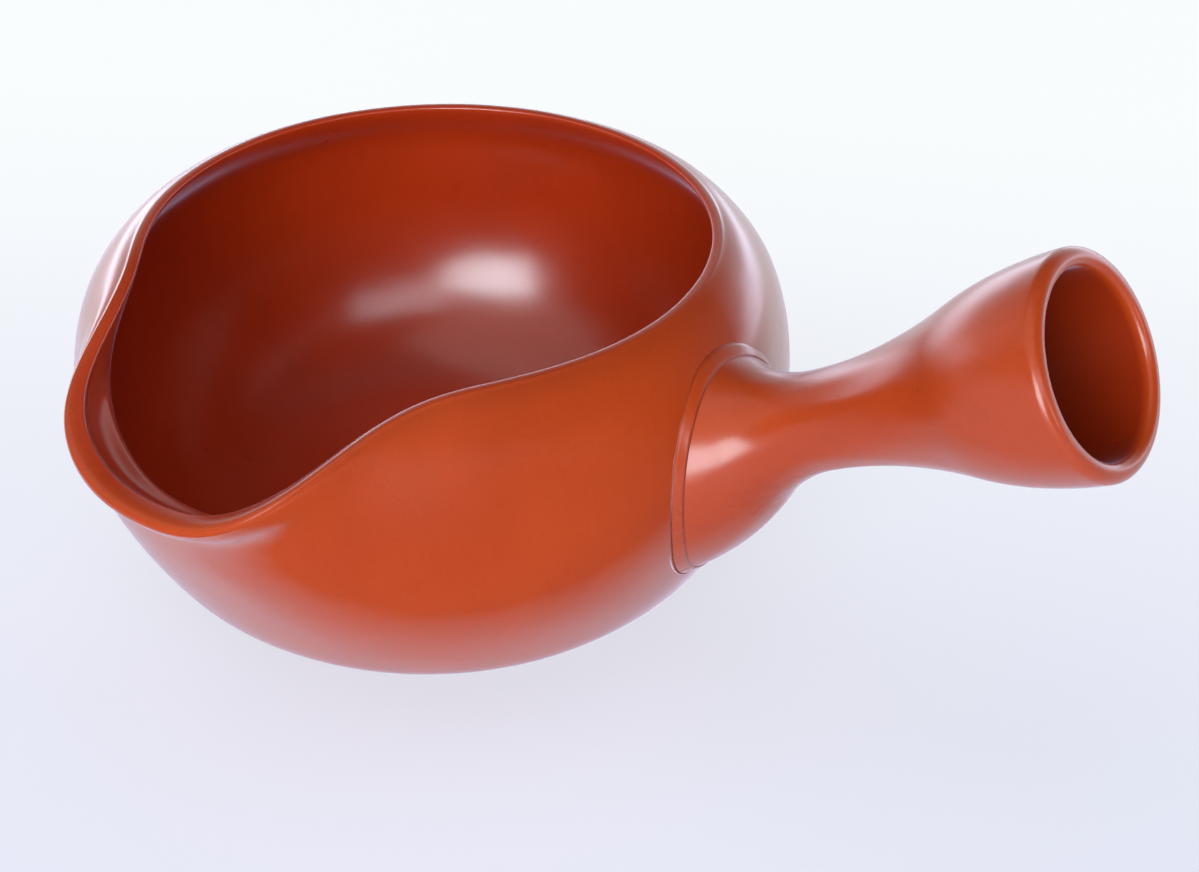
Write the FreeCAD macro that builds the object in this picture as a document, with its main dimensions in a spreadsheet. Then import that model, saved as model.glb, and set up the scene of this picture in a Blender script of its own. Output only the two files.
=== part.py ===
import FreeCAD, Part
import Sketcher
import math
import os

# Side-handled pouring bowl of red clay: a thrown bowl with a pulled lip, a hollow thrown handle luted to
# its side, and the layer of slip that bonds the two.
# Frame: origin at the middle of the flat base, +Z up, +X along the handle as seen from above, millimetres.

Vector = FreeCAD.Vector

SIZES = {
    # Thrown bowl
    "foot_radius": 28.0,
    "belly_radius": 52.1,
    "belly_height": 35.5,
    "rim_radius": 40.75,
    "rim_height": 55.6,
    "wall_thickness": 3.2,
    "base_thickness": 4.5,
    "floor_radius": 5.0,
    "crest_thickness": 1.7,
    # Pulled pouring lip
    "spout_azimuth": -91.4,
    "spout_reach": 17.1,
    "spout_drop": 14.2,
    "spout_crest_thickness": 3.6,
    "spout_half_angle": 26.7,
    "spout_dip_half_angle": 21.8,
    # Hollow handle, measured along its own axis from the point where the axis leaves the belly circle
    "handle_height": 39.7,
    "handle_tilt": 31.4,
    "handle_length": 54.7,
    "handle_wall": 2.5,
    "root_setback": 20.0,
    "root_radius": 17.1,
    "root_curve_share": 0.3143,
    "waist_distance": 13.8,
    "waist_radius": 6.7,
    "trumpet_curve_share": 0.591,
    "mouth_radius": 14.0,
    "mouth_edge_radius": 1.5,
    # Slip joint
    "slip_thickness": 0.4,
    "slip_bead_width": 1.2,
}

# Each flank of the waist is a hollow arc that runs smoothly into a swelling one. The two radii add up to a sum
# set by the flank's run and rise, of which the hollow arc takes its share.
CURVES = {
    "root_run": "=waist_distance + root_setback",
    "root_rise": "=root_radius - waist_radius",
    "root_curve_radius": "=root_curve_share * (root_run * root_run + root_rise * root_rise) / (2 * root_rise)",
    "trumpet_run": "=handle_length - mouth_edge_radius - waist_distance",
    "trumpet_rise": "=mouth_radius - waist_radius",
    "trumpet_curve_radius":
        "=trumpet_curve_share * (trumpet_run * trumpet_run + trumpet_rise * trumpet_rise) / (2 * trumpet_rise)",
}

doc = FreeCAD.newDocument("pouring_bowl")
sheet = doc.addObject("Spreadsheet::Sheet", "Sizes")
for line, (alias, value) in enumerate((SIZES | CURVES).items(), start=1):
    sheet.set(f"A{line}", alias)
    sheet.set(f"B{line}", str(value))
    sheet.setAlias(f"B{line}", alias)
doc.recompute()


def size(alias):
    """The present value of one driving dimension."""
    return float(sheet.get(alias))


# Control net of the bowl: rings of poles, each ring holding one pole for every column round the axis.
COLUMNS = 36
DEGREE = 3
REACH_POWER = 7
DIP_POWER = 4
# Wall below the belly, ring by ring: how far out from the foot to the belly, how far up to the belly,
# then how much of the lip's reach and dip the wall's outer face follows, and the same for its inner face.
LOWER_WALL_SHARES = (
    (0.53, 0.168, 0.0, 0.0, 0.0, 0.0),
    (0.75, 0.352, 0.0, 0.0, 0.0, 0.0),
    (1.055, 0.852, 0.0, 0.08, 0.0, 0.08),
)
# Wall above the belly: how far out from the rim to the belly, how far up from belly to rim, and the same
# shares of the lip's reach and dip. The inner face follows less of the reach, which makes the lip's channel.
UPPER_WALL_SHARES = (
    (0.9, 0.53, 0.24, 0.61, 0.12, 0.72),
    (0.53, 0.815, 0.67, 1.0, 0.365, 0.85),
    (0.25, 0.955, 0.93, 1.05, 0.66, 1.02),
)
# How deep the crest's outer edge is rounded, in crest thicknesses: round the bowl, and on the lip
CREST_EDGE_SHARES = (0.15, 0.5)
# Rings of the floor inside, as shares of the foot's radius, and of the mould's lid, as shares of the rim's
FLOOR_SHARES = (1.1, 0.5)
LID_SHARES = (0.86, 0.45)


def bell(angle, half_angle, power):
    """One on the lip's centre line, a half at the half angle, fading to nothing round the bowl."""
    return 1.0 / (1.0 + (abs(angle) / half_angle) ** power)


def lip_reach(angle):
    """How far the pulled lip draws the rim outward at an angle from its centre line."""
    return size("spout_reach") * bell(angle, size("spout_half_angle"), REACH_POWER)


def lip_dip(angle):
    """How far the pulled lip lowers the rim at an angle from its centre line."""
    return size("spout_drop") * bell(angle, size("spout_dip_half_angle"), DIP_POWER)


def thrown_wall():
    """Radius and height of the outer wall's rings as thrown, before the lip is pulled."""
    foot, belly, rim = size("foot_radius"), size("belly_radius"), size("rim_radius")
    low, high = size("belly_height"), size("rim_height")
    lower = [(foot + (belly - foot) * row[0], low * row[1]) for row in LOWER_WALL_SHARES]
    upper = [(rim + (belly - rim) * row[0], low + (high - low) * row[1]) for row in UPPER_WALL_SHARES]
    return [(foot, 0.0)] + lower + upper


def pulled(rings, shares, angle):
    """Rings drawn out and down by their shares of the lip's reach and dip."""
    reach, dip = lip_reach(angle), lip_dip(angle)
    return [(radius + reach * follow_reach, height - dip * follow_dip)
            for (radius, height), (follow_reach, follow_dip) in zip(rings, shares)]


def crest(angle):
    """Rings that round the rim's crest from its outer side to its inner side."""
    gain = size("spout_crest_thickness") - size("crest_thickness")
    lip_share = bell(angle, size("spout_half_angle"), REACH_POWER)
    thickness = size("crest_thickness") + gain * lip_share
    plain_share, pulled_share = CREST_EDGE_SHARES
    outer_depth = thickness * (plain_share + (pulled_share - plain_share) * lip_share)
    middle = size("rim_radius") + lip_reach(angle)
    top = size("rim_height") - lip_dip(angle)
    inner, outer = middle - thickness / 2.0, middle + thickness / 2.0
    inner_depth = size("crest_thickness") / 2.0
    return [(outer, top - outer_depth), (outer, top), (inner, top), (inner, top - inner_depth)]


def crest_foot():
    """Where the thrown wall's outer face meets the crest, before the lip is pulled."""
    half = size("crest_thickness") / 2.0
    return size("rim_radius") + half, size("rim_height") - half


def offset_rings(rings, distance):
    """Rings moved square to the line through their neighbours; a positive distance moves them outward."""
    moved = []
    for before, (radius, height), after in zip(rings, rings[1:], rings[2:]):
        run, rise = after[0] - before[0], after[1] - before[1]
        length = math.hypot(run, rise)
        moved.append((radius + distance * rise / length, height - distance * run / length))
    return moved


def outer_wall(angle):
    shares = [row[2:4] for row in LOWER_WALL_SHARES + UPPER_WALL_SHARES]
    thrown = thrown_wall()
    return thrown[:1] + pulled(thrown[1:], shares, angle)


def inner_wall(angle):
    """The inner wall's rings from the floor's corner up, one wall thickness inside the thrown wall.

    The clay is left thick in that corner, so no inner ring follows the outer wall's lowest one.
    """
    shares = [row[4:6] for row in LOWER_WALL_SHARES + UPPER_WALL_SHARES]
    rings = offset_rings(thrown_wall() + [crest_foot()], -size("wall_thickness"))
    return pulled(rings, shares, angle)[1:]


def bowl_rings(angle):
    """The bowl's whole section: up the outer wall, over the crest, down the inner wall to the floor."""
    floor = [(size("foot_radius") * share, size("base_thickness")) for share in FLOOR_SHARES]
    middle = [(size("floor_radius"), size("base_thickness"))]
    return outer_wall(angle) + crest(angle) + inner_wall(angle)[::-1] + floor + middle


def mould_rings(angle, clearance):
    """The outer wall alone, moved outward by a clearance and closed over the rim by a lid."""
    outer = outer_wall(angle)
    rim = crest(angle)
    base = [(outer[0][0] + clearance, outer[0][1])]
    wall = offset_rings(outer + rim[:1], clearance)
    edge = [(radius + clearance, height) for radius, height in rim[:2]]
    lid = [(size("rim_radius") * share, size("rim_height")) for share in LID_SHARES]
    return base + wall + edge + lid + [(size("floor_radius"), size("rim_height"))]


def skin_solid(ring_function, *arguments):
    """A closed solid from rings of poles: a smooth skin with a flat disc at each end."""
    step = 2.0 * math.pi / COLUMNS
    # A cubic through poles on a circle runs inside it by a known share, so the poles stand out by that share.
    gain = 3.0 / (2.0 + math.cos(step))
    poles = []
    for column in range(COLUMNS):
        angle = column * step - math.pi
        azimuth = math.radians(size("spout_azimuth")) + angle
        section = ring_function(math.degrees(angle), *arguments)
        poles.append([Vector(gain * radius * math.cos(azimuth), gain * radius * math.sin(azimuth), height)
                      for radius, height in section])
    rings = len(poles[0])
    spans = rings - DEGREE
    surface = Part.BSplineSurface()
    surface.buildFromPolesMultsKnots(
        poles,
        [1] * (COLUMNS + 1),
        [DEGREE + 1] + [1] * (spans - 1) + [DEGREE + 1],
        [float(knot) for knot in range(COLUMNS + 1)],
        [float(knot) for knot in range(spans + 1)],
        True,
        False,
        DEGREE,
        DEGREE,
    )
    skin = surface.toShape()
    ends = []
    for knot, outward in ((0.0, -1.0), (float(spans), 1.0)):
        ring = Part.Wire(surface.vIso(knot).toShape())
        disc = Part.Face(ring)
        if disc.normalAt(0.0, 0.0).z * outward < 0.0:
            disc.reverse()
        ends.append(disc)
    shell = Part.Shell([skin] + ends)
    shell.sewShape()
    return Part.Solid(shell)


def add_skin(name, ring_function, *arguments):
    feature = doc.addObject("Part::Feature", name)
    feature.Shape = skin_solid(ring_function, *arguments)
    return feature


# Thrown bowl with its pulled lip
bowl_body = add_skin("bowl_body", bowl_rings)

# The bowl's outer form alone, and the same form grown by the slip's thickness, shape what sits against it
bowl_form = add_skin("bowl_form", mould_rings, 0.0)
slip_form = add_skin("slip_form", mould_rings, size("slip_thickness"))


class Outline:
    """A closed chain of arcs and lines in a sketch, drawn in order and bound to the size sheet."""

    def __init__(self, sketch):
        self.sketch = sketch
        self.ends = {}

    def arc(self, centre, radius, first, last):
        """An arc of under a half circle between two points; returns its number in the sketch."""
        begin, end = [math.atan2(point[1] - centre[1], point[0] - centre[0]) for point in (first, last)]
        forward = (end - begin) % (2.0 * math.pi) < math.pi
        circle = Part.Circle(Vector(centre[0], centre[1], 0), Vector(0, 0, 1), radius)
        drawn = Part.ArcOfCircle(circle, begin, end) if forward else Part.ArcOfCircle(circle, end, begin)
        number = self.sketch.addGeometry(drawn, False)
        self.ends[number] = (1, 2) if forward else (2, 1)
        return number

    def line(self, first, last):
        """A straight line between two points; returns its number in the sketch."""
        segment = Part.LineSegment(Vector(first[0], first[1], 0), Vector(last[0], last[1], 0))
        number = self.sketch.addGeometry(segment, False)
        self.ends[number] = (1, 2)
        return number

    def rule(self, *parts):
        return self.sketch.addConstraint(Sketcher.Constraint(*parts))

    def drive(self, name, expression, *parts):
        """A dimension that follows the sheet."""
        number = self.rule(*parts)
        self.sketch.renameConstraint(number, name)
        self.sketch.setExpression("Constraints." + name, expression)

    def smooth(self, first, second):
        self.rule("Tangent", first, self.ends[first][1], second, self.ends[second][0])

    def corner(self, first, second):
        self.rule("Coincident", first, self.ends[first][1], second, self.ends[second][0])

    def concentric(self, first, second):
        self.rule("Coincident", first, 3, second, 3)


def step_towards(start, end, distance):
    """The point at a distance from one point towards another."""
    length = math.hypot(end[0] - start[0], end[1] - start[1])
    return (start[0] + (end[0] - start[0]) * distance / length,
            start[1] + (end[1] - start[1]) * distance / length)


def swell_radius(run, rise, hollow_radius):
    """Radius of the swelling arc that meets a hollow arc smoothly across a run and a rise."""
    return (run * run + rise * rise) / (2.0 * rise) - hollow_radius


class RootFlare:
    """The handle's outline from its widest point at the root to its waist: a swell, then a hollow."""

    def __init__(self, outward):
        root = size("root_radius") + outward
        waist = size("waist_radius") + outward
        self.swell = swell_radius(size("waist_distance") + size("root_setback"), root - waist,
                                  size("root_curve_radius") - outward)
        self.hollow = size("root_curve_radius") - outward
        self.swell_centre = (-size("root_setback"), root - self.swell)
        self.hollow_centre = (size("waist_distance"), waist + self.hollow)
        self.top = (-size("root_setback"), root)
        self.joint = step_towards(self.hollow_centre, self.swell_centre, self.hollow)
        self.waist = (size("waist_distance"), waist)

    def draw(self, outline):
        """From the root out to the waist."""
        swell = outline.arc(self.swell_centre, self.swell, self.top, self.joint)
        hollow = outline.arc(self.hollow_centre, self.hollow, self.joint, self.waist)
        outline.smooth(swell, hollow)
        return swell, hollow

    def draw_back(self, outline):
        """From the waist back to the root."""
        hollow = outline.arc(self.hollow_centre, self.hollow, self.waist, self.joint)
        swell = outline.arc(self.swell_centre, self.swell, self.joint, self.top)
        outline.smooth(hollow, swell)
        return hollow, swell


def drive_root(outline, swell, hollow, outward):
    """Sizes of a root flare: its widest point, its waist and the hollow between them."""
    outline.drive("root_setback", "Sizes.root_setback", "DistanceX", swell, outline.ends[swell][0], -1, 1,
                  size("root_setback"))
    outline.drive("root_height", "Sizes.root_radius" + outward, "DistanceY", -1, 1, swell,
                  outline.ends[swell][0], size("root_radius"))
    outline.rule("Vertical", swell, 3, swell, outline.ends[swell][0])
    outline.drive("waist_distance", "Sizes.waist_distance", "DistanceX", -1, 1, hollow,
                  outline.ends[hollow][1], size("waist_distance"))
    outline.drive("waist_height", "Sizes.waist_radius" + outward, "DistanceY", -1, 1, hollow,
                  outline.ends[hollow][1], size("waist_radius"))
    outline.rule("Vertical", hollow, 3, hollow, outline.ends[hollow][1])


def new_body(name):
    """A body whose X axis is the handle's axis."""
    body = doc.addObject("PartDesign::Body", name)
    body.Placement.Rotation = FreeCAD.Rotation(Vector(0, 1, 0), -size("handle_tilt"))
    body.setExpression("Placement.Base.x", "Sizes.belly_radius")
    body.setExpression("Placement.Base.z", "Sizes.handle_height")
    body.setExpression("Placement.Rotation.Angle", "-Sizes.handle_tilt")
    return body


def new_sketch(body, name):
    sketch = body.newObject("Sketcher::SketchObject", name)
    plane = [item for item in body.Origin.OriginFeatures if item.Role == "XZ_Plane"][0]
    sketch.AttachmentSupport = [(plane, "")]
    sketch.MapMode = "FlatFace"
    return sketch


def turn(body, sketch, name):
    """The outline turned once round the handle's axis."""
    turned = body.newObject("PartDesign::Revolution", name)
    turned.Profile = sketch
    turned.ReferenceAxis = (sketch, ["H_Axis"])
    turned.Angle = 360.0
    body.Tip = turned


def draw_handle(sketch):
    """The handle's wall in section: root flare, waist, trumpet, rounded mouth, and the bore inside."""
    outline = Outline(sketch)
    wall = size("handle_wall")
    edge = size("mouth_edge_radius")
    outer = RootFlare(0.0)
    inner = RootFlare(-wall)
    mouth = (size("handle_length") - edge, size("mouth_radius"))
    hollow_radius = size("trumpet_curve_radius")
    swell_size = swell_radius(mouth[0] - outer.waist[0], mouth[1] - outer.waist[1], hollow_radius)
    hollow_centre = (outer.waist[0], outer.waist[1] + hollow_radius)
    swell_centre = (mouth[0], mouth[1] - swell_size)
    joint = step_towards(hollow_centre, swell_centre, hollow_radius)
    bore_joint = step_towards(hollow_centre, swell_centre, hollow_radius + wall)
    brim = (mouth[0] + edge, mouth[1] - edge)
    bore_edge = wall - edge

    root_swell, root_hollow = outer.draw(outline)
    hollow = outline.arc(hollow_centre, hollow_radius, outer.waist, joint)
    swell = outline.arc(swell_centre, swell_size, joint, mouth)
    lip = outline.arc((mouth[0], mouth[1] - edge), edge, mouth, brim)
    bore_lip = outline.arc((brim[0] - bore_edge, brim[1]), bore_edge, brim, (brim[0] - bore_edge, mouth[1] - wall))
    land = outline.line((brim[0] - bore_edge, mouth[1] - wall), (mouth[0], mouth[1] - wall))
    bore_swell = outline.arc(swell_centre, swell_size - wall, (mouth[0], mouth[1] - wall), bore_joint)
    bore_hollow = outline.arc(hollow_centre, hollow_radius + wall, bore_joint, inner.waist)
    bore_root_hollow, bore_root_swell = inner.draw_back(outline)
    foot = outline.line(inner.top, outer.top)

    for first, second in ((root_hollow, hollow), (hollow, swell), (swell, lip), (lip, bore_lip),
                          (bore_lip, land), (land, bore_swell), (bore_swell, bore_hollow),
                          (bore_hollow, bore_root_hollow)):
        outline.smooth(first, second)
    outline.corner(bore_root_swell, foot)
    outline.corner(foot, root_swell)
    for first, second in ((root_swell, bore_root_swell), (root_hollow, bore_root_hollow),
                          (hollow, bore_hollow), (swell, bore_swell)):
        outline.concentric(first, second)
    outline.rule("Vertical", foot)
    outline.rule("Horizontal", land)
    drive_root(outline, root_swell, root_hollow, "")
    outline.drive("root_curve", "Sizes.root_curve_radius", "Radius", root_hollow, outer.hollow)
    outline.drive("trumpet_curve", "Sizes.trumpet_curve_radius", "Radius", hollow, hollow_radius)
    outline.drive("mouth_distance", "Sizes.handle_length - Sizes.mouth_edge_radius", "DistanceX", -1, 1,
                  swell, outline.ends[swell][1], mouth[0])
    outline.drive("mouth_height", "Sizes.mouth_radius", "DistanceY", -1, 1, swell, outline.ends[swell][1], mouth[1])
    outline.rule("Vertical", swell, 3, swell, outline.ends[swell][1])
    outline.drive("mouth_edge", "Sizes.mouth_edge_radius", "Radius", lip, edge)
    outline.rule("Horizontal", lip, 3, lip, outline.ends[lip][1])
    outline.drive("bore_edge", "Sizes.handle_wall - Sizes.mouth_edge_radius", "Radius", bore_lip, bore_edge)


def draw_slip_collar(sketch):
    """The slip round the handle's root in section, as far out as the waist."""
    outline = Outline(sketch)
    wall = size("handle_wall")
    outer = RootFlare(size("slip_bead_width"))
    inner = RootFlare(-wall)
    swell, hollow = outer.draw(outline)
    end = outline.line(outer.waist, inner.waist)
    bore_hollow, bore_swell = inner.draw_back(outline)
    foot = outline.line(inner.top, outer.top)
    outline.corner(hollow, end)
    outline.corner(end, bore_hollow)
    outline.corner(bore_swell, foot)
    outline.corner(foot, swell)
    outline.concentric(swell, bore_swell)
    outline.concentric(hollow, bore_hollow)
    outline.rule("Vertical", end)
    outline.rule("Vertical", foot)
    drive_root(outline, swell, hollow, " + Sizes.slip_bead_width")
    outline.drive("bead_curve", "Sizes.root_curve_radius - Sizes.slip_bead_width", "Radius", hollow, outer.hollow)
    outline.drive("bore_curve", "Sizes.root_curve_radius + Sizes.handle_wall", "Radius", bore_hollow, inner.hollow)


# Hollow handle, turned as thrown, then cut to seat on the slip round the bowl's side
handle_turned = new_body("handle_turned")
handle_sketch = new_sketch(handle_turned, "handle_section")
draw_handle(handle_sketch)
turn(handle_turned, handle_sketch, "handle_revolution")
side_handle = doc.addObject("Part::Cut", "side_handle")
side_handle.Base = handle_turned
side_handle.Tool = slip_form

# Slip joint, a thin layer between the bowl's side and the handle's root that shows as a ring round it
collar_turned = new_body("collar_turned")
collar_sketch = new_sketch(collar_turned, "collar_section")
draw_slip_collar(collar_sketch)
turn(collar_turned, collar_sketch, "collar_revolution")
collar_in_slip = doc.addObject("Part::Common", "collar_in_slip")
collar_in_slip.Base = collar_turned
collar_in_slip.Tool = slip_form
slip_joint = doc.addObject("Part::Cut", "handle_slip_joint")
slip_joint.Base = collar_in_slip
slip_joint.Tool = bowl_form

doc.recompute()

PIECES = (bowl_body, side_handle, slip_joint)
for item in doc.Objects:
    if "Invalid" in item.State or "Error" in item.State:
        raise RuntimeError(f"{item.Name} failed: {item.State}")
for piece in PIECES:
    if piece.Shape.isNull() or not piece.Shape.isValid() or len(piece.Shape.Solids) != 1:
        raise RuntimeError(f"{piece.Label} is not one valid solid")

os.makedirs("parts", exist_ok=True)
for piece in PIECES:
    piece.Shape.exportStep(f"parts/{piece.Label}.step")
    box = piece.Shape.BoundBox
    print(piece.Label, "volume", round(piece.Shape.Volume), "box",
          [round(value, 2) for value in (box.XMin, box.YMin, box.ZMin, box.XMax, box.YMax, box.ZMax)])
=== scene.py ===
import math
import bpy
import numpy as np
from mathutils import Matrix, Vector


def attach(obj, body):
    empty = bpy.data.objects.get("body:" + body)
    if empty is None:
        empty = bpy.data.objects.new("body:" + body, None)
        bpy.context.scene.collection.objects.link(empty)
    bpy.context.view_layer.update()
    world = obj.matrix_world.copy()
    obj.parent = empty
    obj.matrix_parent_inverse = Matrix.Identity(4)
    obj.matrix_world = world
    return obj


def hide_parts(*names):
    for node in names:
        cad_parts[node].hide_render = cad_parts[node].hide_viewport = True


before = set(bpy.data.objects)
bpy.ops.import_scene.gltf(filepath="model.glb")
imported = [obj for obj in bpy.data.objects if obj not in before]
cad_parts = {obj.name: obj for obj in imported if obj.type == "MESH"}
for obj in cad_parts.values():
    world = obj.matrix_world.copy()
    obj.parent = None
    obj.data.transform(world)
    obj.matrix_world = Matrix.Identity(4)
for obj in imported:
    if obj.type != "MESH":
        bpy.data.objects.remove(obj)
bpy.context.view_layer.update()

# A burnished red clay pouring bowl. The three clay pieces are modelled again here as fine meshes, from the
# same control net and outline as the solids, with the tooling marks of the real surface.
MM = 0.001

# Sizes of the thrown bowl and its pulled lip, millimetres and degrees
FOOT, BELLY, BELLY_HEIGHT, RIM, RIM_HEIGHT = 28.0, 52.1, 35.5, 40.75, 55.6
WALL, BASE, FLOOR_MIDDLE, CREST = 3.2, 4.5, 5.0, 1.7
LIP_AZIMUTH, LIP_REACH, LIP_DROP, LIP_CREST = -91.4, 17.1, 14.2, 3.6
REACH_ANGLE, DIP_ANGLE, REACH_POWER, DIP_POWER = 26.7, 21.8, 7, 4

# The bowl's net of poles. Each row of shares gives one ring: its place out and up along the wall, then how
# far it follows the lip's reach and dip on the outer face, and the same two on the inner face.
COLUMNS, DEGREE = 36, 3
LOWER_WALL_SHARES = ((0.53, 0.168, 0.0, 0.0, 0.0, 0.0), (0.75, 0.352, 0.0, 0.0, 0.0, 0.0),
                     (1.055, 0.852, 0.0, 0.08, 0.0, 0.08))
UPPER_WALL_SHARES = ((0.9, 0.53, 0.24, 0.61, 0.12, 0.72), (0.53, 0.815, 0.67, 1.0, 0.365, 0.85),
                     (0.25, 0.955, 0.93, 1.05, 0.66, 1.02))
WALL_SHARES = LOWER_WALL_SHARES + UPPER_WALL_SHARES
CREST_EDGE_SHARES, FLOOR_SHARES = (0.15, 0.5), (1.1, 0.5)

# The bowl's surface: how finely it is drawn, and the marks of hand finishing. Heights and wavelengths are in
# millimetres, and places run along the section in spans of the net.
ROUND_SAMPLES, SPAN_STEPS = 480, 12
LONG_SEED, LONG_WAVES, LONG_RELIEF = 3, (26.0, 26.0, 9.0), 0.035
SHORT_SEED, SHORT_WAVES, SHORT_RELIEF = 4, (9.0, 9.0, 3.2), 0.012
RELIEF_SHARE, BOWL_SUNK = 0.5, 0.06
FLAT_HEIGHT, FLAT_FADE = 0.2, 3.0
CREST_PLACE, INSIDE_FADE, RUBBED_REACH, RUBBED_POWER = len(WALL_SHARES) + 1.5, 0.8, 0.9, 4
LEDGE_ANGLE, LEDGE_POWER = 24.0, 6
RIDGE_PLACE, RIDGE, RIDGE_WIDTH = len(WALL_SHARES) + 2.05, 0.07, 0.17
GROOVE_PLACE, GROOVE, GROOVE_WIDTH = RIDGE_PLACE + 0.85, 0.12, 0.38

# Sizes of the handle, millimetres and degrees, along its own axis from the belly circle
AXIS_HEIGHT, TILT, LENGTH, HANDLE_WALL = 39.7, 31.4, 54.7, 2.5
ROOT_BACK, ROOT, ROOT_CURVE_SHARE = 20.0, 17.1, 0.3143
WAIST_AT, WAIST, TRUMPET_CURVE_SHARE, MOUTH, EDGE = 13.8, 6.7, 0.591, 14.0, 1.5
ROOT_CURVE = ROOT_CURVE_SHARE * ((WAIST_AT + ROOT_BACK) ** 2 + (ROOT - WAIST) ** 2) / (2 * (ROOT - WAIST))
TRUMPET_CURVE = (TRUMPET_CURVE_SHARE * ((LENGTH - EDGE - WAIST_AT) ** 2 + (MOUTH - WAIST) ** 2)
                 / (2 * (MOUTH - WAIST)))
SLIP = 0.4

# The handle's surface, drawn and marked like the bowl's
HANDLE_ROUND, ROOT_STEPS, HORN_STEPS, EDGE_STEPS, BORE_STEPS = 256, 61, 90, 13, 60
HANDLE_SEED, HANDLE_WAVES, HANDLE_RELIEF, HANDLE_SUNK = 11, (30.0, 7.0, 7.0), 0.035, 0.05
ROOT_FADE, MOUTH_FADE, MOUTH_FADE_END, MOUTH_RELIEF_SHARE = 4.0, 6.0, 0.5, 0.15
BORE_INSET = 0.4

# The slip ring: a tooled band round the root between two scored lines, wider over the top than underneath.
# Each row of BAND is a place across it: how far out from the handle, the share of the band's width added to
# that, the share of the handle's edge height, the height added to that, and how much painted shade darkens
# it in a scored line. The row that closes it lies on the first.
EDGE_HEIGHT, EDGE_HEIGHT_MORE = 0.62, 0.30
BAND_WIDTH, BAND_WIDTH_MORE, BAND_POWER = 0.10, 0.95, 1.6
# Painted shade in the scored lines: its share underneath and over the top, and in the row that closes the
# band
SCORE_SHADE_UNDER, SCORE_SHADE_OVER, CLOSING_SCORE_SHADE = 0.35, 1.0, 1.0
BAND = ((-0.40, 0.0, 1.0, 0.25, 0.6), (-0.12, 0.0, 1.0, -0.02, 0.4), (-0.02, 0.0, 1.0, -0.14, 1.0),
        (0.05, 0.0, 1.0, -0.14, 1.0), (0.11, 0.0, 1.0, -0.05, 0.2), (0.16, 0.10, 0.93, 0.0, 0.0),
        (0.20, 0.35, 0.72, 0.0, 0.0), (0.20, 0.65, 0.50, 0.0, 0.0), (0.20, 0.90, 0.33, 0.0, 0.0),
        (0.21, 1.0, 0.20, 0.0, 0.1), (0.24, 1.0, 0.0, -0.02, 0.7), (0.34, 1.0, 0.0, -0.03, 1.0),
        (0.42, 1.0, 0.0, -0.14, 1.0))


def bell(angle, half_angle, power):
    """A smooth hump round zero, half its height at the half angle."""
    return 1.0 / (1.0 + (abs(angle) / half_angle) ** power)


def section_poles(angle):
    """Rings of poles (radius, height) of the bowl's section at an angle from the lip's centre line."""
    lip_share = bell(angle, REACH_ANGLE, REACH_POWER)
    reach = LIP_REACH * lip_share
    dip = LIP_DROP * bell(angle, DIP_ANGLE, DIP_POWER)
    thrown = [(FOOT, 0.0)]
    thrown += [(FOOT + (BELLY - FOOT) * row[0], BELLY_HEIGHT * row[1]) for row in LOWER_WALL_SHARES]
    thrown += [(RIM + (BELLY - RIM) * row[0], BELLY_HEIGHT + (RIM_HEIGHT - BELLY_HEIGHT) * row[1])
               for row in UPPER_WALL_SHARES]
    outer = [thrown[0]]
    outer += [(p[0] + reach * row[2], p[1] - dip * row[3]) for p, row in zip(thrown[1:], WALL_SHARES)]
    thick = CREST + (LIP_CREST - CREST) * lip_share
    depth = thick * (CREST_EDGE_SHARES[0] + (CREST_EDGE_SHARES[1] - CREST_EDGE_SHARES[0]) * lip_share)
    middle, top = RIM + reach, RIM_HEIGHT - dip
    crest = [(middle + thick / 2, top - depth), (middle + thick / 2, top), (middle - thick / 2, top),
             (middle - thick / 2, top - CREST / 2)]
    chain = thrown + [(RIM + CREST / 2, RIM_HEIGHT - CREST / 2)]
    inner = []
    for before, here, after, row in zip(chain, chain[1:], chain[2:], WALL_SHARES):
        run, rise = after[0] - before[0], after[1] - before[1]
        length = math.hypot(run, rise)
        inner.append((here[0] - WALL * rise / length + reach * row[4],
                      here[1] + WALL * run / length - dip * row[5]))
    floor = [(FOOT * share, BASE) for share in FLOOR_SHARES] + [(FLOOR_MIDDLE, BASE)]
    return outer + crest + inner[:0:-1] + floor


def round_basis(columns, samples):
    """Weights of the poles of a closed uniform cubic at evenly spread places round it."""
    place = np.arange(samples) * columns / samples
    whole = np.floor(place).astype(int)
    f = place - whole
    weights = np.zeros((samples, columns))
    row = np.arange(samples)
    for step, value in ((-1, (1 - f) ** 3), (0, 3 * f ** 3 - 6 * f ** 2 + 4),
                        (1, -3 * f ** 3 + 3 * f ** 2 + 3 * f + 1), (2, f ** 3)):
        weights[row, (whole + step) % columns] += value / 6
    return weights


def open_basis(count, places):
    """Weights of the poles of a clamped uniform cubic at the given places."""
    spans = count - DEGREE
    knots = np.concatenate([[0.0] * DEGREE, np.arange(spans + 1.0), [float(spans)] * DEGREE])
    just_inside = spans - 1e-9
    v = np.clip(places, 0.0, just_inside)[:, None]
    basis = ((knots[:-1] <= v) & (v < knots[1:])).astype(float)
    for d in range(1, DEGREE + 1):
        rise = knots[d:-1] - knots[:-d - 1]
        fall = knots[d + 1:] - knots[1:-d]
        up = np.divide(v - knots[:-d - 1], rise, out=np.zeros_like(basis[:, :-1]), where=rise > 0)
        down = np.divide(knots[d + 1:] - v, fall, out=np.zeros_like(basis[:, 1:]), where=fall > 0)
        basis = up * basis[:, :-1] + down * basis[:, 1:]
    return basis


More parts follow.
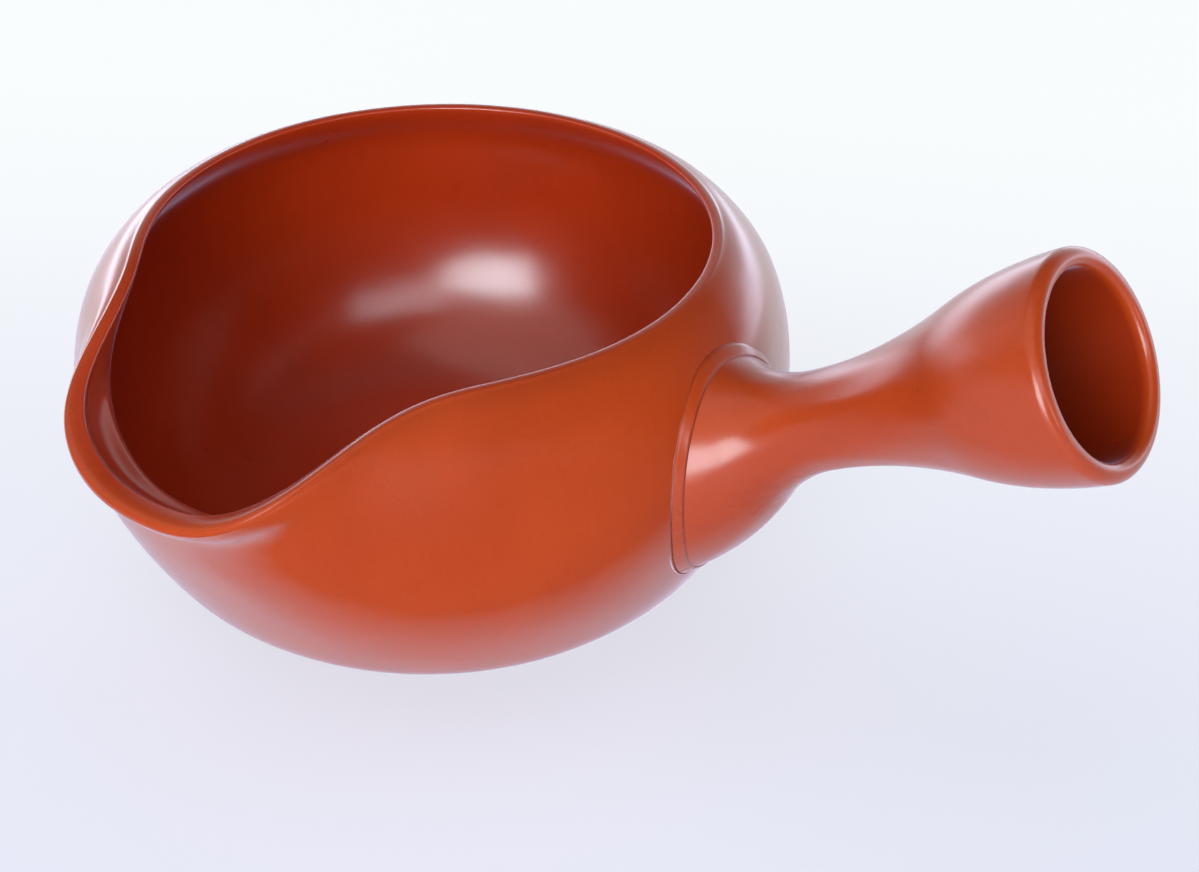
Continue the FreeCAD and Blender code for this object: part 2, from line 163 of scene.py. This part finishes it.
def bowl_surface(samples, places):
    """Points of the bowl's skin, in rows round the bowl, millimetres."""
    step = 2 * math.pi / COLUMNS
    gain = 3 / (2 + math.cos(step))
    net = []
    for column in range(COLUMNS):
        angle = column * step - math.pi
        azimuth = math.radians(LIP_AZIMUTH) + angle
        section = np.array(section_poles(math.degrees(angle)))
        radius = gain * section[:, 0]
        net.append(np.stack([radius * math.cos(azimuth), radius * math.sin(azimuth), section[:, 1]], 1))
    net = np.array(net)
    return np.einsum("uc,cnk,vn->uvk", round_basis(COLUMNS, samples), net,
                     open_basis(net.shape[1], places), optimize=True)


def normals_of(grid):
    """Unit normals of a grid of points that is closed round its first direction."""
    du = np.roll(grid, -1, 0) - np.roll(grid, 1, 0)
    dv = np.gradient(grid, axis=1)
    n = np.cross(du, dv)
    return n / np.maximum(np.linalg.norm(n, axis=2, keepdims=True), 1e-12)


def waves(points, seed, wavelengths, count=28, spread=(0.7, 1.4)):
    """A smooth random field in [-1, 1] or so, from sine waves whose lengths are given along X, Y and Z."""
    rng = np.random.default_rng(seed)
    field = np.zeros(points.shape[:-1])
    for _ in range(count):
        direction = rng.normal(size=3)
        direction /= np.linalg.norm(direction)
        k = 2 * math.pi * direction / np.array(wavelengths) * rng.uniform(*spread)
        field += np.sin(points @ k + rng.uniform(0, 2 * math.pi))
    return field / math.sqrt(count / 2)


def grid_mesh(name, grid, capped=False):
    """A mesh object from a grid of points, closed round its first direction.

    Along its second direction it is closed by a fan of faces at either end where it is capped, and else the
    last column lies on the first.
    """
    rows, cols = grid.shape[:2]
    index = np.arange(rows * cols).reshape(rows, cols)
    after = np.roll(index, -1, 0)
    faces = np.stack([index[:, :-1], after[:, :-1], after[:, 1:], index[:, 1:]], -1).reshape(-1, 4).tolist()
    points = (grid.reshape(-1, 3) * MM).tolist()
    for end in (0, cols - 1) if capped else ():
        ring = index[:, end].tolist()
        centre = len(points)
        points.append((grid[:, end].mean(0) * MM).tolist())
        for a, b in zip(ring, ring[1:] + ring[:1]):
            faces.append((a, b, centre) if end else (b, a, centre))
    mesh = bpy.data.meshes.new(name)
    mesh.from_pydata(points, [], faces)
    mesh.validate()
    mesh.polygons.foreach_set("use_smooth", [True] * len(mesh.polygons))
    mesh.update()
    piece = bpy.data.objects.new(name, mesh)
    bpy.context.scene.collection.objects.link(piece)
    return piece


def mark(piece, name, values):
    """A value at each point of a mesh, for its material."""
    layer = piece.data.attributes.new(name, "FLOAT", "POINT")
    layer.data.foreach_set("value", values)


# Bowl, with places spread evenly over the spans of its net
spans = len(section_poles(0.0)) - DEGREE
places = np.linspace(0.0, spans, spans * SPAN_STEPS + 1)
bowl_grid = bowl_surface(ROUND_SAMPLES, places)
bowl_normals = normals_of(bowl_grid)
flat_part = np.clip((bowl_grid[..., 2] - FLAT_HEIGHT) / FLAT_FADE, 0.0, 1.0)
relief = (LONG_RELIEF * waves(bowl_grid, LONG_SEED, LONG_WAVES)
          + SHORT_RELIEF * waves(bowl_grid, SHORT_SEED, SHORT_WAVES)) * RELIEF_SHARE
lip_angle = np.abs((np.arange(ROUND_SAMPLES) * 360.0 / ROUND_SAMPLES) - 180.0)
lip_share = bell(lip_angle, LEDGE_ANGLE, LEDGE_POWER)[:, None]
groove = GROOVE * np.exp(-((places - GROOVE_PLACE) / GROOVE_WIDTH) ** 2)
ridge = RIDGE * np.exp(-((places - RIDGE_PLACE) / RIDGE_WIDTH) ** 2)
sunk = (relief + BOWL_SUNK) * flat_part + (groove - ridge) * lip_share
thrown_bowl = grid_mesh("thrown_bowl", bowl_grid - bowl_normals * sunk[..., None], capped=True)
inside = np.clip((places - CREST_PLACE) / INSIDE_FADE + 0.5, 0.0, 1.0)
rubbed = np.exp(-((places - CREST_PLACE) / RUBBED_REACH) ** RUBBED_POWER)
foot_and_floor_rubbed, foot_and_floor_inside = [0.0, 0.0], [0.0, 1.0]
mark(thrown_bowl, "rubbed", np.concatenate([np.tile(rubbed, ROUND_SAMPLES), foot_and_floor_rubbed]))
mark(thrown_bowl, "inside", np.concatenate([np.tile(inside, ROUND_SAMPLES), foot_and_floor_inside]))
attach(thrown_bowl, "root")
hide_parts("bowl_body")

# The bowl's plain outer radius against height on the handle's side, for seating the handle and its slip
OUTER_PLACES, SIDE_PLACE = np.linspace(0.3, 8.0, 500), 100
sides = bowl_surface(ROUND_SAMPLES, OUTER_PLACES)
azimuths = np.arctan2(sides[:, SIDE_PLACE, 1], sides[:, SIDE_PLACE, 0])
side = sides[np.argmin(np.abs(azimuths))]
side_radius, side_height = np.hypot(side[:, 0], side[:, 1]), side[:, 2]
side_slope = np.gradient(side_radius, side_height)

axis = np.array([math.cos(math.radians(TILT)), 0.0, math.sin(math.radians(TILT))])
axis_start = np.array([BELLY, 0.0, AXIS_HEIGHT])
across = np.array([0.0, 1.0, 0.0])
upward = np.cross(axis, across)


def arc_pair(start, end, hollow_radius):
    """Radius and centre of the swelling arc that meets a hollow arc smoothly, the hollow arc's centre, and
    where along the axis they meet."""
    run, rise = abs(end[0] - start[0]), start[1] - end[1]
    swell = (run * run + rise * rise) / (2 * rise) - hollow_radius
    swell_centre = (start[0], start[1] - swell)
    hollow_centre = (end[0], end[1] + hollow_radius)
    joint = hollow_centre[0] + (swell_centre[0] - hollow_centre[0]) * hollow_radius / (swell + hollow_radius)
    return swell, swell_centre, hollow_centre, joint


def arc(s, centre, radius, sign):
    """Height of an arc over or under its centre at distances along the axis."""
    return centre[1] + sign * np.sqrt(np.maximum(radius ** 2 - (s - centre[0]) ** 2, 0))


def profile(s, outward=0.0):
    """The handle's outer radius along its axis, moved outward by a distance square to it."""
    s = np.asarray(s, float)
    waist = (WAIST_AT, WAIST + outward)
    mouth = (LENGTH - EDGE, MOUTH + outward)
    root = (-ROOT_BACK, ROOT + outward)
    swell, swell_centre, hollow_centre, joint = arc_pair(root, waist, ROOT_CURVE - outward)
    root_part = np.where(s < joint, arc(s, swell_centre, swell, 1),
                         arc(s, hollow_centre, ROOT_CURVE - outward, -1))
    swell, swell_centre, hollow_centre, joint = arc_pair(mouth, waist, TRUMPET_CURVE - outward)
    horn = np.where(s < joint, arc(s, hollow_centre, TRUMPET_CURVE - outward, -1),
                    arc(s, swell_centre, swell, 1))
    return np.where(s < WAIST_AT, root_part, horn)


def turned(s, radius, phi):
    """Points at distances along the handle's axis, at radii and angles round it."""
    s, radius, phi = np.broadcast_arrays(s, radius, phi)
    return (axis_start + s[..., None] * axis
            + radius[..., None] * (np.cos(phi)[..., None] * across + np.sin(phi)[..., None] * upward))


def seam(phi, outward, height):
    """How far along the axis the outline moved outward meets the bowl's side raised by a height."""
    furthest_back, halvings = -18.0, 40
    low, high = np.full_like(phi, furthest_back), np.full_like(phi, WAIST_AT)
    for _ in range(halvings):
        middle = (low + high) / 2
        point = turned(middle, profile(middle, outward), phi)
        reach = np.hypot(point[..., 0], point[..., 1])
        at = np.interp(point[..., 2], side_height, side_radius)
        slope = np.interp(point[..., 2], side_height, side_slope)
        outside = (reach - at) / np.sqrt(1 + slope ** 2) > height
        high = np.where(outside, middle, high)
        low = np.where(outside, low, middle)
    return (low + high) / 2


def all_round(row):
    """One row along the handle repeated at every angle round it."""
    return np.tile(row, (HANDLE_ROUND, 1))


# Handle, from its seat on the slip over the root flare, the trumpet and the rounded mouth, and down the bore
phi = np.arange(HANDLE_ROUND) * 2 * math.pi / HANDLE_ROUND
lift = (np.sin(phi) + 1) / 2
edge_height = EDGE_HEIGHT + EDGE_HEIGHT_MORE * (1 - lift)
start = seam(phi, 0.0, edge_height)
bore_start = seam(phi, -HANDLE_WALL, SLIP)
t = np.linspace(0.0, 1.0, ROOT_STEPS)
s_root = start[:, None] + (WAIST_AT - start[:, None]) * t
s_horn = np.linspace(WAIST_AT, LENGTH - EDGE, HORN_STEPS)[1:]
quarter = np.linspace(0.0, math.pi / 2, EDGE_STEPS)[1:]
bore_edge = HANDLE_WALL - EDGE
edge_s = np.concatenate([LENGTH - EDGE + EDGE * np.sin(quarter),
                         LENGTH - bore_edge + bore_edge * np.cos(quarter)])
edge_r = np.concatenate([MOUTH - EDGE + EDGE * np.cos(quarter), MOUTH - EDGE - bore_edge * np.sin(quarter)])
s_bore = np.linspace(LENGTH - EDGE - BORE_INSET, WAIST_AT, BORE_STEPS)
s_back = WAIST_AT + (bore_start[:, None] - WAIST_AT) * t[1:]
outside = [(s_root, profile(s_root)), (all_round(s_horn), all_round(profile(s_horn))),
           (all_round(edge_s), all_round(edge_r))]
bore = [(all_round(s_bore), all_round(profile(s_bore, -HANDLE_WALL))),
        (s_back, profile(s_back, -HANDLE_WALL))]
s_all = np.concatenate([part[0] for part in outside + bore], 1)
r_all = np.concatenate([part[1] for part in outside + bore], 1)
handle_grid = turned(s_all, r_all, phi[:, None])
handle_grid = np.concatenate([handle_grid, handle_grid[:, :1]], 1)
along = np.concatenate([s_all, s_all[:, :1]], 1)
fade = (np.clip((along - start[:, None]) / ROOT_FADE, 0.0, 1.0)
        * np.clip((LENGTH - MOUTH_FADE_END - along) / MOUTH_FADE, MOUTH_RELIEF_SHARE, 1.0))
unrolled = r_all.max() * np.stack([np.cos(phi), np.sin(phi)], -1)[:, None] * np.ones(along.shape + (1,))
local = np.concatenate([along[..., None], unrolled], -1)
relief = HANDLE_RELIEF * waves(local, HANDLE_SEED, HANDLE_WAVES) * fade * RELIEF_SHARE
handle_grid = handle_grid - normals_of(handle_grid) * (HANDLE_SUNK * fade + relief)[..., None]
hollow_handle = grid_mesh("hollow_handle", handle_grid)
# The bore's rows, whose colour gets a darker, redder painted shade
bore_shade = (np.arange(handle_grid.shape[1]) >= sum(part[0].shape[1] for part in outside)).astype(float)
bore_shade[-1] = 0.0
mark(hollow_handle, "bore_shade", np.tile(bore_shade, HANDLE_ROUND))
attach(hollow_handle, "root")
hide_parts("side_handle")

# Slip ring
band_width = BAND_WIDTH + BAND_WIDTH_MORE * lift ** BAND_POWER
band_rows = []
for outward, share, part, added, _ in BAND:
    move = outward + share * band_width
    here = seam(phi, move, part * edge_height + added)
    band_rows.append(turned(here, profile(here, move), phi))
band_grid = np.stack(band_rows + band_rows[:1], 1)
slip_ring = grid_mesh("slip_ring", band_grid[:, ::-1])
# Painted shade along the scored lines, fainter underneath than over the top
score_shade_fading = (SCORE_SHADE_UNDER + (SCORE_SHADE_OVER - SCORE_SHADE_UNDER) * lift)[:, None]
score_shades = np.array([CLOSING_SCORE_SHADE] + [row[-1] for row in BAND[::-1]])
mark(slip_ring, "score_shade", (score_shades * score_shade_fading).ravel())
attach(slip_ring, "root")
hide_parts("handle_slip_joint")

# Looks of the clay. Noise has a scale, on object coordinates, and a detail. Colours are linear, and other
# pairs are ranges. UPRIGHT and ALONG_HANDLE stretch the strokes.
CLAY_DARK, CLAY_LIGHT, CLOUD_STOPS = (0.340, 0.0350, 0.0042, 1), (0.412, 0.0465, 0.0058, 1), (0.28, 0.72)
CLOUD, SPECKLE, GRAIN, STROKES = (38.0, 3.0), (2600.0, 2.0), (1100.0, 4.0), (1.0, 3.0)
NOISE_MIDDLE = (0.3, 0.7)
SPECKLE_SHADE, SPECKLE_RANGE = (0.90, 1.0), (0.28, 0.44)
STROKE_SHADE, STROKE_GLOSS, STROKE_HEIGHT = (0.975, 1.015), (-0.02, 0.02), 0.5
UPRIGHT, ALONG_HANDLE = (900.0, 900.0, 70.0), (60.0, 700.0, 700.0)
BUMP_STRENGTH, BUMP_DISTANCE = 0.10, 0.0001
CLAY_IOR, COAT_IOR, COAT_ROUGHNESS = 1.22, 2.6, 0.23
SHEEN, SHEEN_ROUGHNESS, SHEEN_TINT = 0.70, 0.20, (0.85, 0.76, 1.0, 1)
GRAZING = (0.40, 0.68)
WORN, WORN_GLOSS, WORN_HEIGHT = (0.50, 0.125, 0.045, 1), 0.25, (0.0003, 0.0022)
WORN_NOISE, WORN_PATCHES, WORN_RANGE = (420.0, 4.0), (0.15, 0.85), (0.42, 0.62)
INSIDE_GLOSS, INSIDE_COAT, INSIDE_EDGE = -0.16, 0.31, 0.3
RUBBED_GLOSS, RUBBED_COAT_SHARE = -0.12, 0.4
# The marks' tints and shades are painted shade: a darker, redder tint inside the bowl, a darker, redder tint
# and shade in the handle's bore, and a darker shade in the slip's scored lines.
MARK_TINTS = {"inside": (1.14, 0.78, 0.75, 1), "bore_shade": (1.0, 0.72, 0.90, 1), "score_shade": (1, 1, 1, 1)}
MARK_SHADES = {"inside": 1.0, "bore_shade": 0.66, "score_shade": 0.70}


def plug(tree, value, socket):
    """Feeds a socket from another node's socket, or sets it to a plain value."""
    if isinstance(value, bpy.types.NodeSocket):
        tree.links.new(value, socket)
    else:
        socket.default_value = value


def maths(tree, operation, *values):
    """Values or links put through a Math node."""
    node = tree.nodes.new("ShaderNodeMath")
    node.operation = operation
    for value, socket in zip(values, node.inputs):
        plug(tree, value, socket)
    return node.outputs[0]


def ranged(tree, value, to, given=(0.0, 1.0), curve="LINEAR"):
    """A value mapped from one range to another and kept inside it."""
    node = tree.nodes.new("ShaderNodeMapRange")
    node.interpolation_type = curve
    node.inputs["From Min"].default_value, node.inputs["From Max"].default_value = given
    node.inputs["To Min"].default_value, node.inputs["To Max"].default_value = to
    plug(tree, value, node.inputs["Value"])
    return node.outputs["Result"]


def noise(tree, vector, scale, detail):
    texture = tree.nodes.new("ShaderNodeTexNoise")
    texture.inputs["Scale"].default_value = scale
    texture.inputs["Detail"].default_value = detail
    plug(tree, vector, texture.inputs["Vector"])
    return texture.outputs["Fac"]


def strokes_along(tree, vector, stretch, turn):
    """Noise drawn out along the axis whose stretch is least, after a turn about Y."""
    mapping = tree.nodes.new("ShaderNodeMapping")
    mapping.inputs["Rotation"].default_value = (0.0, turn, 0.0)
    mapping.inputs["Scale"].default_value = stretch
    plug(tree, vector, mapping.inputs["Vector"])
    return noise(tree, mapping.outputs["Vector"], *STROKES)


def ramp(tree, value, colours, stops=(0.0, 1.0)):
    """A colour between two, from where a value lies between two stops."""
    node = tree.nodes.new("ShaderNodeValToRGB")
    for element, colour, stop in zip(node.color_ramp.elements, colours, stops):
        element.color = colour
        element.position = stop
    plug(tree, value, node.inputs["Fac"])
    return node.outputs["Color"]


def mixed_colour(tree, share, first, second, blend="MIX"):
    node = tree.nodes.new("ShaderNodeMix")
    node.data_type = "RGBA"
    node.blend_type = blend
    for value, name in ((share, "Factor"), (first, "A"), (second, "B")):
        plug(tree, value, node.inputs[name])
    return node.outputs["Result"]


def mixed_value(tree, share, first, second):
    node = tree.nodes.new("ShaderNodeMix")
    for value, place in ((share, 0), (first, 2), (second, 3)):
        plug(tree, value, node.inputs[place])
    return node.outputs[0]


def dot(tree, vector, direction):
    node = tree.nodes.new("ShaderNodeVectorMath")
    node.operation = "DOT_PRODUCT"
    plug(tree, vector, node.inputs[0])
    plug(tree, direction, node.inputs[1])
    return node.outputs["Value"]


def scaled(tree, vector, scale):
    node = tree.nodes.new("ShaderNodeVectorMath")
    node.operation = "SCALE"
    plug(tree, vector, node.inputs[0])
    plug(tree, scale, node.inputs["Scale"])
    return node.outputs["Vector"]


def height_of(tree, vector):
    node = tree.nodes.new("ShaderNodeSeparateXYZ")
    plug(tree, vector, node.inputs[0])
    return node.outputs["Z"]


def mark_of(tree, name):
    node = tree.nodes.new("ShaderNodeAttribute")
    node.attribute_name = name
    return node.outputs["Fac"]


def place_on(tree, output="Object"):
    return tree.nodes.new("ShaderNodeTexCoord").outputs[output]


def clay(name, gloss, coat, stretch, turn, layer):
    """Burnished unglazed red clay: mottled, with a fine grain and faint strokes drawn out along one axis.

    gloss is the range of roughness, and coat the range of the coat's weight from facing to grazing. layer
    names the mark on the piece's points: the bowl's inside, which is glossier and has a darker, redder
    painted shade, the handle's bore with its darker, redder painted shade, or the slip's scored lines with
    their painted shade.
    """
    material = bpy.data.materials.new(name)
    material.use_nodes = True
    tree = material.node_tree
    shader = tree.nodes["Principled BSDF"]
    shader.inputs["IOR"].default_value = CLAY_IOR
    shader.inputs["Sheen Weight"].default_value = SHEEN
    shader.inputs["Sheen Roughness"].default_value = SHEEN_ROUGHNESS
    shader.inputs["Sheen Tint"].default_value = SHEEN_TINT
    shader.inputs["Coat Roughness"].default_value = COAT_ROUGHNESS
    shader.inputs["Coat IOR"].default_value = COAT_IOR
    place = place_on(tree)
    cloud = noise(tree, place, *CLOUD)
    grain = noise(tree, place, *GRAIN)
    strokes = strokes_along(tree, place, stretch, turn)
    marked = mark_of(tree, layer)

    foot_edge = ranged(tree, height_of(tree, place), (1.0, 0.0), WORN_HEIGHT)
    worn = maths(tree, "MULTIPLY", foot_edge,
                 ranged(tree, noise(tree, place, *WORN_NOISE), WORN_PATCHES, WORN_RANGE))
    colour = mixed_colour(tree, worn, ramp(tree, cloud, (CLAY_DARK, CLAY_LIGHT), CLOUD_STOPS), WORN)
    # Each mark multiplies in its painted shade: its tint here, and its darkening below
    colour = mixed_colour(tree, marked, colour, MARK_TINTS[layer], "MULTIPLY")
    shade = maths(tree, "MULTIPLY",
                  ranged(tree, noise(tree, place, *SPECKLE), SPECKLE_SHADE, SPECKLE_RANGE),
                  ranged(tree, strokes, STROKE_SHADE, NOISE_MIDDLE))
    shade = maths(tree, "MULTIPLY", shade, ranged(tree, marked, (1.0, MARK_SHADES[layer])))
    plug(tree, scaled(tree, colour, shade), shader.inputs["Base Color"])

    rough = maths(tree, "ADD", ranged(tree, cloud, gloss, NOISE_MIDDLE),
                  ranged(tree, strokes, STROKE_GLOSS, NOISE_MIDDLE))
    rough = maths(tree, "ADD", rough, ranged(tree, worn, (0.0, WORN_GLOSS)))
    facing = tree.nodes.new("ShaderNodeLayerWeight").outputs["Facing"]
    polish = ranged(tree, facing, coat, GRAZING)
    if layer == "inside":
        rim = mark_of(tree, "rubbed")
        rough = maths(tree, "ADD", rough, ranged(tree, marked, (0.0, INSIDE_GLOSS)))
        rough = maths(tree, "ADD", rough, ranged(tree, rim, (0.0, RUBBED_GLOSS)))
        rubbed_face = maths(tree, "MAXIMUM", marked, maths(tree, "MULTIPLY", rim, RUBBED_COAT_SHARE))
        polish = maths(tree, "MULTIPLY", polish, ranged(tree, marked, (1.0, INSIDE_EDGE)))
        polish = maths(tree, "MAXIMUM", polish, ranged(tree, rubbed_face, (coat[0], INSIDE_COAT)))
    plug(tree, polish, shader.inputs["Coat Weight"])
    plug(tree, rough, shader.inputs["Roughness"])

    bump = tree.nodes.new("ShaderNodeBump")
    bump.inputs["Strength"].default_value = BUMP_STRENGTH
    bump.inputs["Distance"].default_value = BUMP_DISTANCE
    height = maths(tree, "ADD", maths(tree, "MULTIPLY", strokes, STROKE_HEIGHT), grain)
    plug(tree, height, bump.inputs["Height"])
    plug(tree, bump.outputs["Normal"], shader.inputs["Normal"])
    return material


tilt = math.radians(TILT)
for piece, name, gloss, coat, stretch, turn, layer in (
        (thrown_bowl, "thrown_clay", (0.44, 0.52), (0.007, 1.0), UPRIGHT, 0.0, "inside"),
        (hollow_handle, "handle_clay", (0.27, 0.35), (0.15, 0.55), ALONG_HANDLE, tilt, "bore_shade"),
        (slip_ring, "slip_clay", (0.24, 0.32), (0.18, 0.55), ALONG_HANDLE, tilt, "score_shade")):
    piece.data.materials.append(clay(name, gloss, coat, stretch, turn, layer))

# Floor: matte under the object's light and shadow, and a plain glow, paler towards the back, where the camera
# and reflections see it. Its ranges run along FLOOR_FALL, metres from the middle towards the camera.
FLOOR_SIZE, FLOOR_FALL, FLOOR_MATTE = 6.0, (0.49, -0.87, 0.0), (0.80, 0.83, 0.98, 1)
FLOOR_TONES, TONE_RANGE = ((0.97, 1.0, 1.0, 1), (0.86, 0.87, 0.97, 1)), (-0.16, 0.10)
SEEN_SHARES, SEEN_RANGE = (0.95, 0.62), (-0.10, 0.04)
REFLECTED_SHARES, REFLECTED_RANGE = (0.95, 0.10), (-0.06, 0.06)


def rays(tree):
    """Whether the camera sees a place straight, and whether a reflection does."""
    path = tree.nodes.new("ShaderNodeLightPath")
    reflected = maths(tree, "MAXIMUM", path.outputs["Is Glossy Ray"], path.outputs["Is Transmission Ray"])
    return path.outputs["Is Camera Ray"], reflected


bpy.ops.mesh.primitive_plane_add(size=FLOOR_SIZE, location=(0, 0, 0))
floor = bpy.context.object
floor.name = "studio_floor"
floor_paint = bpy.data.materials.new("studio_floor_paint")
floor_paint.use_nodes = True
tree = floor_paint.node_tree
tree.nodes.remove(tree.nodes["Principled BSDF"])
matte = tree.nodes.new("ShaderNodeBsdfDiffuse")
matte.inputs["Color"].default_value = FLOOR_MATTE
glow = tree.nodes.new("ShaderNodeEmission")
fall = dot(tree, place_on(tree), FLOOR_FALL)
plug(tree, ramp(tree, ranged(tree, fall, (0.0, 1.0), TONE_RANGE), FLOOR_TONES), glow.inputs["Color"])
straight, reflected = rays(tree)
seen = maths(tree, "MULTIPLY", straight, ranged(tree, fall, SEEN_SHARES, SEEN_RANGE))
mix = tree.nodes.new("ShaderNodeMixShader")
share = maths(tree, "MULTIPLY_ADD", reflected, ranged(tree, fall, REFLECTED_SHARES, REFLECTED_RANGE), seen)
plug(tree, share, mix.inputs["Fac"])
plug(tree, matte.outputs[0], mix.inputs[1])
plug(tree, glow.outputs[0], mix.inputs[2])
plug(tree, mix.outputs[0], tree.nodes["Material Output"].inputs["Surface"])
floor.data.materials.append(floor_paint)

# Camera at the photograph's viewpoint
CAMERA_AT, CAMERA_TO = Vector((0.1549, -0.1852, 0.1862)), Vector((0.0203, 0.0129, 0.0200))
SENSOR, FOCAL_PIXELS, PHOTO_WIDTH, NEAREST_SEEN = 36.0, 1913.28, 1199.0, 0.01
camera_data = bpy.data.cameras.new("view")
camera_data.sensor_width = SENSOR
camera_data.lens = SENSOR * FOCAL_PIXELS / PHOTO_WIDTH
camera_data.clip_start = NEAREST_SEEN
camera = bpy.data.objects.new("view", camera_data)
camera.location = CAMERA_AT
camera.rotation_euler = (CAMERA_TO - CAMERA_AT).to_track_quat("-Z", "Y").to_euler()
bpy.context.scene.collection.objects.link(camera)
bpy.context.scene.camera = camera

# World: pale blue for the camera, a room for reflections, bright behind the bowl and dark overhead, and for
# the object's own light a little from all round and more from overhead. Ranges are of the direction's parts.
BACKGROUND = (0.905, 0.945, 1.0, 1)
ROOM_BACK, ROOM_SHARES, ROOM_RANGE = (-0.30, 0.85, 0.0), (0.30, 1.0), (-0.25, 0.25)
HEIGHT_SHARES, HEIGHT_RANGE = (1.0, 0.08), (0.28, 0.74)
AMBIENT, OVERHEAD, OVERHEAD_RANGE = 0.05, 1.1, (0.80, 0.98)
world = bpy.data.worlds.new("studio")
world.use_nodes = True
tree = world.node_tree
direction = place_on(tree, "Generated")
up = height_of(tree, direction)
back = ranged(tree, dot(tree, direction, ROOM_BACK), ROOM_SHARES, ROOM_RANGE, "SMOOTHSTEP")
room = maths(tree, "MULTIPLY", back, ranged(tree, up, HEIGHT_SHARES, HEIGHT_RANGE, "SMOOTHSTEP"))
straight, reflected = rays(tree)
strength = mixed_value(tree, reflected, ranged(tree, up, (AMBIENT, OVERHEAD), OVERHEAD_RANGE), room)
sky = tree.nodes["Background"]
sky.inputs["Color"].default_value = BACKGROUND
plug(tree, mixed_value(tree, straight, strength, 1.0), sky.inputs["Strength"])
bpy.context.scene.world = world

# Lamps, each turned to LAMP_AIM: name, azimuth and elevation in degrees, distance, width and height in
# metres, radiance and colour. The windows light the front, and the backdrops show in the grazing edges.
LAMP_AIM = Vector((0.0, 0.0, 0.03))
LAMPS = (("window", -72.0, 14.0, 1.0, 0.58, 0.48, 12.0, (0.84, 0.93, 1.0)),
         ("window_side", -36.0, 31.0, 1.1, 0.66, 0.28, 3.1, (0.85, 0.92, 1.0)),
         ("far_window", -10.0, 14.0, 1.2, 0.28, 0.28, 4.2, (0.92, 0.95, 1.0)),
         ("ceiling", -112.0, 55.0, 1.8, 2.8, 2.0, 0.70, (1.0, 0.98, 0.95)),
         ("backdrop", 60.0, 4.0, 1.5, 3.2, 0.30, 2.8, (0.74, 0.78, 1.0)),
         ("side_backdrop", 158.0, 5.0, 1.5, 2.4, 0.30, 3.3, (0.80, 0.82, 1.0)))
for name, azimuth, elevation, distance, width, height, radiance, colour in LAMPS:
    lamp = bpy.data.lights.new(name, "AREA")
    lamp.shape = "RECTANGLE"
    lamp.size = width
    lamp.size_y = height
    lamp.energy = radiance * math.pi * width * height
    lamp.color = colour
    a, e = math.radians(azimuth), math.radians(elevation)
    toward = Vector((math.cos(a) * math.cos(e), math.sin(a) * math.cos(e), math.sin(e)))
    holder = bpy.data.objects.new(name, lamp)
    holder.location = LAMP_AIM + toward * distance
    holder.rotation_euler = (-toward).to_track_quat("-Z", "Y").to_euler()
    bpy.context.scene.collection.objects.link(holder)

bpy.context.scene.view_settings.view_transform = "Standard"
